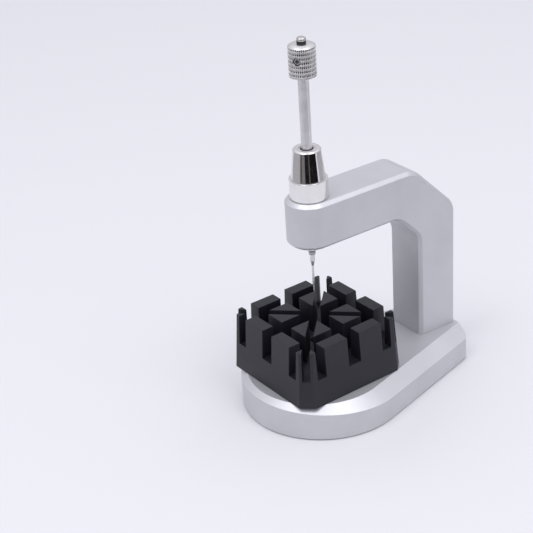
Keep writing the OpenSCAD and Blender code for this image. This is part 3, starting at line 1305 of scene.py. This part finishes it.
@dataclass
class Guide:
    """Plated ring and cone on the nose, with the wiper and the bush.

    Args:
        rim: Width of the bright chamfer round the cone's top.
        edge: Width of the broken edges.
        chamber_r: Radius of the spring's chamber.
        spigot_r: Radius of the ring's spigot.
        relief: Width and height of the step below the ring.
        seat_r: Radius of the ring's seat for the cone.
        seat_h: Depth of that seat.
        cone_top_r: Radius of the cone at its top.
        rod_r: Radius of the bores that the rod runs in.
        lip_r: Inner radius of the wiper's flat top.
        mouth_r: Radius within which the wiper is dark.
    """

    rim: float = 0.55 * MM
    edge: float = 0.12 * MM
    chamber_r: float = 5.25 * MM
    spigot_r: float = 6.8 * MM
    relief: Point2 = (0.35 * MM, 0.3 * MM)
    seat_r: float = 6.35 * MM
    seat_h: float = 4.0 * MM
    cone_top_r: float = 6.15 * MM
    rod_r: float = 2.46 * MM
    lip_r: float = 2.9 * MM
    mouth_r: float = 2.95 * MM

    def build(self, plating: Material, rubber: Material, bronze: Material) -> None:
        """Build the turned pieces of the housing.

        Args:
            plating: Finish of ring and cone.
            rubber: Finish of the wiper's lip.
            bronze: Finish of the bush.
        """
        self.ring(plating)
        self.cone(plating)
        self.wiper(plating, rubber)
        bush = ring_profile("lower_bush", self.rod_r, 0.02 * MM)
        Piece("guide_bush", "lower_bush").turn(bush, 0.3 * MM, 96, bronze)

    def ring(self, plating: Material) -> None:
        """Build the ring on the nose.

        Args:
            plating: Finish of the ring.
        """
        arm_top, foot = high("arm_frame").z, low("guide_collar").z
        outer, top = high("guide_collar").x, high("guide_collar").z
        step, rise = self.relief
        profile = [
            (self.chamber_r, foot),
            (self.spigot_r, foot),
            (self.spigot_r, arm_top),
            (outer - step, arm_top),
            (outer - step, arm_top + rise),
            (outer, arm_top + rise),
            (outer, top),
            (self.seat_r, top),
            (self.seat_r, top - self.seat_h),
            (self.chamber_r, top - self.seat_h),
        ]
        Piece("guide_ring", "guide_collar").turn(profile, 0.25 * MM, 128, plating)

    def cone(self, plating: Material) -> None:
        """Build the tapered housing.

        Args:
            plating: Finish of the housing.
        """
        foot, top = low("guide_cone").z, high("guide_cone").z
        outer, seat = high("guide_cone").x, high("guide_collar").z
        slope = (outer - self.cone_top_r) / (top - seat)
        wiper_r, wiper_z = high("wiper_ring").x + 0.05 * MM, low("wiper_ring").z
        play, wall = 0.02 * MM, 2.0 * MM
        profile = [
            (self.chamber_r, foot),
            (self.seat_r - 0.1 * MM, foot),
            (self.seat_r - 0.1 * MM, seat + play),
            (outer, seat + play),
            (self.cone_top_r + slope * self.rim, top - self.rim),
            (self.cone_top_r - self.rim, top),
            (wiper_r, top),
            (wiper_r, wiper_z),
            (self.rod_r + play, wiper_z),
            (self.rod_r + play, wiper_z - wall),
            (self.chamber_r - 0.05 * MM, wiper_z - wall - 0.05 * MM),
        ]
        Piece("guide_housing", "guide_cone").turn(profile, self.edge, 128, plating)

    def wiper(self, plating: Material, rubber: Material) -> None:
        """Build the wiper with its dark lip.

        Args:
            plating: Finish of its rim.
            rubber: Finish of its lip.
        """
        bottom, top = low("wiper_ring").z, high("wiper_ring").z
        outer, step = high("wiper_ring").x, 0.25 * MM
        profile = [
            (self.rod_r, bottom),
            (outer, bottom),
            (outer, top - step),
            (self.lip_r, top - step),
            (self.rod_r, top),
        ]
        lip = turned(rounded_profile(profile, 0.08 * MM), 96)
        paint(lip, lambda face: face.calc_center_median().xy.length < self.mouth_r)
        Piece("wiper_lip", "wiper_ring").add(lip, [plating, rubber], 40.0)


# --------------------------------------------------------------------------------------------------
# Plunger
# --------------------------------------------------------------------------------------------------


@dataclass
class Knob:
    """Knurled knob, its grub screw, the button and the seat under it.

    Args:
        bands: Number of knurled bands.
        pitch: Height of one band.
        flutes: Number of flutes round each band.
        band: Rings of one band from the bottom, each as (inset, height, depth of the flutes) in millimetres.
        bore_r: Radius of the recess in the knob's foot.
        valley: Inset from which a face counts as the bottom of a flute and gets the painted shade.
        screw_turn: Direction of the grub screw in degrees.
        screw_r: Radius of the grub screw.
        screw_hole_r: Radius of its hole.
        socket_r: Distance of its key socket's corners from the middle.
        stem_r: Radius of the button's stem.
    """

    bands: int = 7
    pitch: float = 1.843 * MM
    flutes: int = 42
    band: tuple[Triple, ...] = (
        (0.10, 0.02, 0.18),
        (0.0, 0.14, 0.18),
        (0.0, 0.88, 0.18),
        (0.06, 1.02, 0.40),
        (0.10, 1.12, 0.50),
        (0.10, 1.66, 0.50),
        (0.08, 1.80, 0.35),
    )
    bore_r: float = 2.43 * MM
    valley: float = 0.3 * MM
    screw_turn: float = -59.0
    screw_r: float = 1.47 * MM
    screw_hole_r: float = 1.7 * MM
    socket_r: float = 0.87 * MM
    stem_r: float = 1.5 * MM

    def sleeve(self) -> BMesh:
        """Build the knurled body with its crown, closed at the foot and in the button's hole.

        Returns:
            The body, without the grub screw's hole.
        """
        foot, outer = low("knob").z, high("knob").x
        crown_top = high("knob").z
        height = foot + 0.6 * MM
        bm = bmesh.new()
        start = bmesh.ops.create_circle(bm, cap_ends=False, segments=4 * self.flutes, radius=self.bore_r)
        bmesh.ops.translate(bm, vec=(0, 0, height), verts=start["verts"])
        rings: list[Triple] = [(self.bore_r + 0.35 * MM, foot, 0.0), (outer - 0.6 * MM, foot, 0.0)]
        for i in range(self.bands):
            base = foot + i * self.pitch
            rings += [(outer - drop * MM, base + rise * MM, cut * MM) for drop, rise, cut in self.band]
        crown = foot + self.bands * self.pitch
        rings += [
            (outer - 0.12 * MM, crown, 0.0),
            (outer - 0.02 * MM, crown + 0.1 * MM, 0.0),
            (outer - 0.25 * MM, crown + 0.4 * MM, 0.0),
            (outer - 0.75 * MM, crown + 0.75 * MM, 0.0),
            (outer - 1.5 * MM, crown_top - 0.12 * MM, 0.0),
            (outer - 2.3 * MM, crown_top, 0.0),
            (2.2 * MM, crown_top, 0.0),
            (1.6 * MM, crown_top, 0.0),
            (1.55 * MM, crown_top - 0.8 * MM, 0.0),
        ]
        edge = bm.edges[:]
        for ring_r, ring_z, cut in rings:
            grown = bmesh.ops.extrude_edge_only(bm, edges=edge)
            verts = set(new_verts(grown))
            edge = [g for g in grown["geom"] if isinstance(g, BMEdge) and verts.issuperset(g.verts)]
            bmesh.ops.translate(bm, vec=(0, 0, ring_z - height), verts=list(verts))
            # Four points make one flute, and the last of them is its bottom.
            for v in verts:
                step = round(math.atan2(v.co.y, v.co.x) * 2 * self.flutes / math.pi) % 4
                flat = Vector((v.co.x, v.co.y, 0.0)).normalized() * (ring_r - (cut if step == 3 else 0.0))
                v.co.x, v.co.y = flat.x, flat.y
            height = ring_z
        bmesh.ops.contextual_create(bm, geom=edge)
        bmesh.ops.contextual_create(bm, geom=[e for e in bm.edges if e.is_boundary])
        bmesh.ops.recalc_face_normals(bm, faces=bm.faces)
        return bm

    def build(
        self,
        bright: Material,
        shaded: Material,
        steel: Material,
        dark: Material,
        polished: Material,
    ) -> None:
        """Build the knob and what it carries.

        Args:
            bright: Finish of the knurling and crown.
            shaded: Darker copy of the knurl steel, painted shade in the bottoms of the flutes.
            steel: Finish of the grub screw.
            dark: Finish of the seat.
            polished: Finish of the button.
        """
        self.body(bright, shaded)
        self.grub_screw(steel)
        seat = ring_profile("button_seat", self.stem_r + 0.04 * MM)
        Piece("button_seat_ring", "button_seat", "plunger").turn(seat, 0.1 * MM, 64, dark, 50.0)
        self.button(polished)

    def along_screw(self, reach: float) -> Vector:
        """Point on the grub screw's axis at a distance from the plunger's."""
        turn = math.radians(self.screw_turn)
        return Vector((math.cos(turn) * reach, math.sin(turn) * reach, middle_of("knob_screw").z))

    def body(self, bright: Material, shaded: Material) -> None:
        """Build the knob's body with the hole for its grub screw.

        Args:
            bright: Finish of the knurling and crown.
            shaded: Darker copy of the knurl steel, painted shade in the bottoms of the flutes.
        """
        hole = rod_between(self.along_screw(2.3 * MM), self.along_screw(7.0 * MM), self.screw_hole_r, 48)
        knob = drilled(self.sleeve(), [hole])
        foot, inner, rim = low("knob").z, 4.0 * MM, high("knob").x - self.valley
        crown = foot + self.bands * self.pitch

        def in_flute(face: BMFace) -> bool:
            """Tell whether a face lies at the bottom of a deep flute, where shade is painted."""
            middle = face.calc_center_median()
            return foot < middle.z < crown and inner < middle.xy.length < rim

        # The flute bottoms get the darker steel: painted shade that makes the knurl's dashes stand out.
        paint(knob, in_flute)
        Piece("knurled_knob", "knob", "plunger").add(knob, [bright, shaded], 28.0, weighted=False)

    def grub_screw(self, steel: Material) -> None:
        """Build the grub screw in the knob's side.

        Args:
            steel: Finish of the screw.
        """
        screw = rod_between(self.along_screw(2.45 * MM), self.along_screw(5.35 * MM), self.screw_r, 48)
        soften(screw, sharp_edges(screw, 60.0), 0.16 * MM, 2)
        out = self.along_screw(1.0) - self.along_screw(0.0)
        facing = out.to_track_quat("Z", "Y").to_matrix().to_4x4()
        place = Matrix.Translation(self.along_screw(5.0 * MM)) @ facing
        screw = drilled(screw, [hex_socket(place, self.socket_r, 2.8 * MM)])
        Piece("knob_grub_screw", "knob_screw", "plunger").add(screw, steel, 35.0)

    def button(self, polished: Material) -> None:
        """Build the domed button.

        Args:
            polished: Finish of the button.
        """
        seat_top = high("button_seat").z
        button_r, button_top = high("striking_button").x, high("striking_button").z
        stem_z = low("striking_button").z
        button = [
            (0.0, stem_z),
            (self.stem_r, stem_z),
            (self.stem_r, seat_top),
            (button_r - 0.12 * MM, seat_top),
            (button_r, seat_top + 0.15 * MM),
            (button_r, seat_top + 0.85 * MM),
            (button_r - 0.15 * MM, seat_top + 1.12 * MM),
            (button_r - 0.5 * MM, seat_top + 1.36 * MM),
            (button_r - 1.0 * MM, button_top - 0.1 * MM),
            (0.5 * MM, button_top - 0.01 * MM),
            (0.0, button_top),
        ]
        Piece("striking_cap", "striking_button", "plunger").add(
            turned(button, 64), polished, 40.0, weighted=False
        )


@dataclass
class Plunger:
    """Rod, chuck, clamped pin, stop ring and spring.

    Args:
        groove_r: Radius of the rod in the stop ring's groove.
        collet_r: Radius of the bore that takes the chuck.
        screw_r: Radius of the chuck's grub screw.
        clamp_r: Radius of the chuck's bore for the pin.
        nose_r: Radius of the chuck's tip.
        nose_h: Length of that tip.
        shoulder_h: Height above the tip's end at which the chuck meets the rod.
        needle_r: Radius of the pin's needle.
        needle_h: Length of the needle.
        shank_z: Height above the needle's end at which the shank begins.
        wire: Radius of the spring's wire.
        turns: Number of the spring's turns.
    """

    groove_r: float = 2.0 * MM
    collet_r: float = 1.8 * MM
    screw_r: float = 0.76 * MM
    clamp_r: float = 1.15 * MM
    nose_r: float = 1.55 * MM
    nose_h: float = 1.6 * MM
    shoulder_h: float = 2.5 * MM
    needle_r: float = 0.5 * MM
    needle_h: float = 9.9 * MM
    shank_z: float = 12.6 * MM
    wire: float = 0.3 * MM
    turns: int = 8

    def rod(self, steel: Material) -> None:
        """Build the rod with the groove for its stop ring.

        Args:
            steel: Finish of the rod.
        """
        foot, top = low("plunger_rod").z, high("plunger_rod").z
        radius = high("plunger_rod").x
        stop_z, stop_top = low("stop_ring").z - 0.05 * MM, high("stop_ring").z + 0.05 * MM
        collet_top = high("chuck_nose").z
        shape = [
            (self.collet_r, foot),
            (radius, foot),
            (radius, stop_z),
            (self.groove_r, stop_z),
            (self.groove_r, stop_top),
            (radius, stop_top),
            (radius, top),
            (0.0, top),
            (0.0, collet_top + 0.1 * MM),
            (self.collet_r, collet_top + 0.1 * MM),
        ]
        rod = turned(rounded_profile(shape, 0.12 * MM), 96)
        middle = middle_of("chuck_screw").z
        hole = rod_between(Vector((0, 0, middle)), Vector((4 * MM, 0, middle)), self.screw_r + 0.07 * MM, 32)
        Piece("plunger_bar", "plunger_rod", "plunger").add(drilled(rod, [hole]), steel, 40.0)

    def chuck(self, steel: Material, dark: Material) -> None:
        """Build the chuck nose and its screw.

        Args:
            steel: Finish of the nose.
            dark: Finish of the screw.
        """
        foot, top = low("chuck_nose").z, high("chuck_nose").z
        rod_r, collet_r = high("plunger_rod").x, self.collet_r - 0.05 * MM
        edge, roof = 0.2 * MM, 1.5 * MM
        shape = [
            (self.clamp_r, foot),
            (self.nose_r - edge, foot),
            (self.nose_r, foot + edge),
            (self.nose_r, foot + self.nose_h),
            (rod_r, foot + self.shoulder_h),
            (collet_r, foot + self.shoulder_h),
            (collet_r, top),
            (0.0, top),
            (0.0, top - roof),
            (self.clamp_r, top - roof),
        ]
        Piece("chuck_tip", "chuck_nose", "plunger").turn(shape, 0.08 * MM, 72, steel)
        height = middle_of("chuck_screw").z
        tip = Vector((high("chuck_screw").x, 0, height))
        screw = rod_between(Vector((self.collet_r, 0, height)), tip, self.screw_r, 32)
        soften(screw, sharp_edges(screw, 60.0), 0.08 * MM, 2)
        sideways = Matrix.Rotation(math.pi / 2, 4, "Y")
        socket = hex_socket(Matrix.Translation(tip) @ sideways, 0.4 * MM, 0.7 * MM)
        Piece("chuck_grub_screw", "chuck_screw", "plunger").add(drilled(screw, [socket]), dark, 35.0)

    def pin(self, polished: Material) -> None:
        """Build the push pin.

        Args:
            polished: Finish of the pin.
        """
        tip, top = low("push_pin").z, high("push_pin").z
        shank = high("push_pin").x
        edge = 0.3 * MM
        shape = [
            (0.0, tip),
            (self.needle_r - 0.17 * MM, tip),
            (self.needle_r, tip + edge),
            (self.needle_r, tip + self.needle_h),
            (self.needle_r + 0.12 * MM, tip + self.needle_h + 0.5 * MM),
            (shank, tip + self.shank_z),
            (shank, top - edge),
            (shank - edge, top),
            (0.0, top),
        ]
        Piece("push_pin_body", "push_pin", "pin").turn(shape, 0.06 * MM, 64, polished, 30.0)

    def spring(self, wire_finish: Material, dark: Material, washer: Material) -> None:
        """Build the spring, its seat and the stop ring.

        Args:
            wire_finish: Finish of the wire.
            dark: Finish of the stop ring.
            washer: Finish of the seat.
        """
        foot, top = low("return_spring").z, high("return_spring").z
        reach = high("return_spring").x - self.wire
        bm = bmesh.new()
        place = Matrix.Translation((reach, 0, foot + self.wire)) @ Matrix.Rotation(math.pi / 2, 4, "X")
        section = bmesh.ops.create_circle(bm, cap_ends=True, segments=10, radius=self.wire, matrix=place)
        geom = [section["verts"][0].link_faces[0]]
        flat = 2.1 * self.wire
        stages = [(1, flat), (self.turns - 2, top - foot - 2 * self.wire - 2 * flat), (1, flat)]
        for turns, rise in stages:
            steps = 36 * turns
            done = bmesh.ops.spin(
                bm,
                geom=geom,
                cent=(0, 0, 0),
                axis=(0, 0, 1),
                dvec=(0, 0, rise / steps),
                angle=2 * math.pi * turns,
                steps=steps,
                use_merge=False,
                use_duplicate=False,
            )
            geom = [g for g in done["geom_last"] if isinstance(g, BMFace)]
        inner = [f for f in bm.faces if all(len(e.link_faces) > 2 for e in f.edges)]
        bmesh.ops.delete(bm, geom=inner, context="FACES_ONLY")
        faces_outwards(bm)
        coil = Piece("spring_coil", "return_spring").add(bm, wire_finish, 50.0, weighted=False)
        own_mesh(coil)

        seat = ring_profile("spring_seat", 2.7 * MM)
        Piece("spring_washer", "spring_seat").turn(seat, 0.1 * MM, 72, washer)
        clip = ring_profile("stop_ring", self.groove_r + 0.06 * MM)
        Piece("stop_clip", "stop_ring", "stop").turn(clip, 0.12 * MM, 72, dark)


# --------------------------------------------------------------------------------------------------
# Holder block
# --------------------------------------------------------------------------------------------------


@dataclass
class Holder:
    """Slotted block that carries the bracelet.

    Args:
        width: Width at the foot.
        draft: Lean of the walls in degrees.
        corner_leg: Leg of the cut across each upright corner.
        depth: Depth of the slots.
        mid_slot: Width of the slots through the middle.
        side_slot: Width of the outer slots.
        side_set: Distance of the outer slots from the middle.
        cross_slot: Width of the diagonal slots.
        hole_r: Radius of the hole for driven pins.
        mouth_r: Radius of its countersunk mouth.
        mouth_h: Depth of that mouth.
        turn: Turn on the base in degrees.
        edge: Width of the rounded edges.
    """

    width: float = 58.0 * MM
    draft: float = 4.0
    corner_leg: float = 5.2 * MM
    depth: float = 14.0 * MM
    mid_slot: float = 6.7 * MM
    side_slot: float = 4.9 * MM
    side_set: float = 18.6 * MM
    cross_slot: float = 3.6 * MM
    hole_r: float = 2.1 * MM
    mouth_r: float = 2.7 * MM
    mouth_h: float = 2.2 * MM
    turn: float = 1.2
    edge: float = 0.3 * MM

    def slot_cutter(self, width: float, offset: float, turn: float, floor: float) -> BMesh:
        """Build the bar that cuts one slot.

        Args:
            width: Width of the slot.
            offset: Distance of the slot from the middle.
            turn: Direction of the slot in degrees.
            floor: Height of its floor.

        Returns:
            The cutter.
        """
        bm = bmesh.new()
        bmesh.ops.create_cube(bm, size=1.0)
        bmesh.ops.scale(bm, vec=(2 * self.width, width, 0.04), verts=bm.verts)
        bmesh.ops.translate(bm, vec=(0, offset, floor + 0.02), verts=bm.verts)
        spin = Matrix.Rotation(math.radians(turn), 3, "Z")
        bmesh.ops.rotate(bm, cent=(0, 0, 0), matrix=spin, verts=bm.verts)
        return bm

    def block(self, height: float) -> BMesh:
        """Build the block on its own foot, unturned.

        Args:
            height: Height of the block.

        Returns:
            The block.
        """
        bm = bmesh.new()
        bmesh.ops.create_cube(bm, size=1.0)
        bmesh.ops.scale(bm, vec=(self.width * 1.2, self.width * 1.2, height), verts=bm.verts)
        bmesh.ops.translate(bm, vec=(0, 0, height / 2), verts=bm.verts)
        lean = math.radians(self.draft)
        corner_set = (self.width - self.corner_leg) / math.sqrt(2)
        for i in range(8):
            turn = math.radians(45 * i)
            out = Vector((math.cos(turn), math.sin(turn), 0.0))
            reach = self.width / 2 if i % 2 == 0 else corner_set
            slice_off(bm, out * reach, out * math.cos(lean) + Vector((0, 0, math.sin(lean))))
        bmesh.ops.remove_doubles(bm, verts=bm.verts, dist=1e-7)
        bmesh.ops.recalc_face_normals(bm, faces=bm.faces)
        floor = height - self.depth
        slots = [(self.mid_slot, 0.0, turn) for turn in (0, 90)]
        slots += [(self.side_slot, s * self.side_set, turn) for turn in (0, 90) for s in (-1, 1)]
        slots += [(self.cross_slot, 0.0, turn) for turn in (45, 135)]
        cutters = [self.slot_cutter(*slot, floor) for slot in slots]
        cutters.append(upright((0.0, 0.0), (-1.0 * MM, height), self.hole_r))
        mouth = bmesh.new()
        bmesh.ops.create_cone(
            mouth,
            cap_ends=True,
            segments=48,
            radius1=self.hole_r - 0.02 * MM,
            radius2=self.mouth_r,
            depth=self.mouth_h,
            matrix=Matrix.Translation((0, 0, floor - self.mouth_h / 2 + 0.01 * MM)),
        )
        cutters.append(mouth)
        cut = drilled(bm, cutters)
        bmesh.ops.dissolve_limit(
            cut,
            angle_limit=math.radians(0.5),
            verts=cut.verts,
            edges=cut.edges,
            use_dissolve_boundaries=False,
        )
        soften(cut, sharp_edges(cut, 30.0, lambda e: e.calc_length() > 0.6 * MM), self.edge, 2)
        return cut

    def build(self, plastic: Material) -> None:
        """Build the block in its place.

        Args:
            plastic: Finish of the block.
        """
        foot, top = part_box("holder_block")
        middle = middle_of("holder_block")
        bm = self.block(top.z - foot.z)
        spin = Matrix.Rotation(math.radians(self.turn), 4, "Z")
        bm.transform(Matrix.Translation((middle.x, middle.y, foot.z)) @ spin)
        Piece("slotted_block", "holder_block", "holder").add(bm, plastic, 30.0)


# --------------------------------------------------------------------------------------------------
# Pieces below the column
# --------------------------------------------------------------------------------------------------


@dataclass
class Fasteners:
    """Screws, washers and dowels that hold the column, with better finishes on their CAD shapes."""

    def build(self, oxide: Material, zinc: Material, ground: Material) -> None:
        """Dress the carried-over pieces.

        Args:
            oxide: Finish of the screws.
            zinc: Finish of the washers.
            ground: Finish of the dowels.
        """
        for node, finish in (("column_screws", oxide), ("column_washers", zinc), ("column_dowels", ground)):
            mesh = FRAME["nodes"][node].data
            mesh.materials.clear()
            mesh.materials.append(finish)
            LOG.info("%s: finish set", node)


def main() -> None:
    """Build the scene in order."""
    logging.basicConfig(level=logging.INFO, format="%(name)s: %(message)s")
    FRAME.update(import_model())
    studio = Studio()
    studio.camera()
    studio.build(low("base_feet").z)

    aluminium = BlastedAluminium("blasted_aluminium").build()
    # Smoother, lighter aluminium for the bevel and the upward chamfers: its lighter tint is a painted sheen.
    cut_aluminium = BlastedAluminium("cut_aluminium", (0.70, 0.70, 0.73), 0.46, 0.75).build()
    plating = Plating("polished_plating").build()
    rod_steel = MachinedSteel("ground_rod_steel", (0.80, 0.79, 0.80), 0.34).build()
    knurl_steel = MachinedSteel("bright_knurled_steel", (0.80, 0.79, 0.78), 0.26, depth=0.001 * MM).build()
    # Darker copy of the knurl steel: painted shade for the bottoms of the flutes.
    flute_shade_steel = MachinedSteel("shaded_knurled_steel", (0.24, 0.24, 0.24), 0.45).build()
    screw_steel = MachinedSteel("plain_screw_steel", (0.42, 0.42, 0.43), 0.38).build()
    chuck_steel = MachinedSteel("turned_chuck_steel", (0.40, 0.40, 0.41), 0.3).build()
    pin_steel = MachinedSteel("polished_pin_steel", (0.66, 0.66, 0.67), 0.2, Turning.ALONG).build()
    wire_steel = MachinedSteel("drawn_wire_steel", (0.42, 0.42, 0.44), 0.35).build()
    button_steel = MachinedSteel("polished_button_steel", (0.60, 0.59, 0.57), 0.16, depth=0.0006 * MM).build()
    oxide = MachinedSteel("black_oxide_steel", (0.05, 0.05, 0.055), 0.42).build()
    zinc = MachinedSteel("zinc_plated_steel", (0.66, 0.67, 0.70), 0.35).build()
    rubber = Rubber("dark_rubber").build()
    bronze = Bronze("sintered_bronze").build()
    plastic = MouldedPlastic("moulded_dark_plastic").build()

    Base().build(aluminium, cut_aluminium, rubber)
    Arm().build(aluminium, cut_aluminium)
    Guide().build(plating, rubber, bronze)
    plunger = Plunger()
    plunger.rod(rod_steel)
    plunger.chuck(chuck_steel, oxide)
    plunger.pin(pin_steel)
    plunger.spring(wire_steel, oxide, zinc)
    Knob().build(knurl_steel, flute_shade_steel, screw_steel, rubber, button_steel)
    Holder().build(plastic)
    Fasteners().build(oxide, zinc, rod_steel)

    LOG.info("sizes written")


if __name__ == "__main__":
    main()
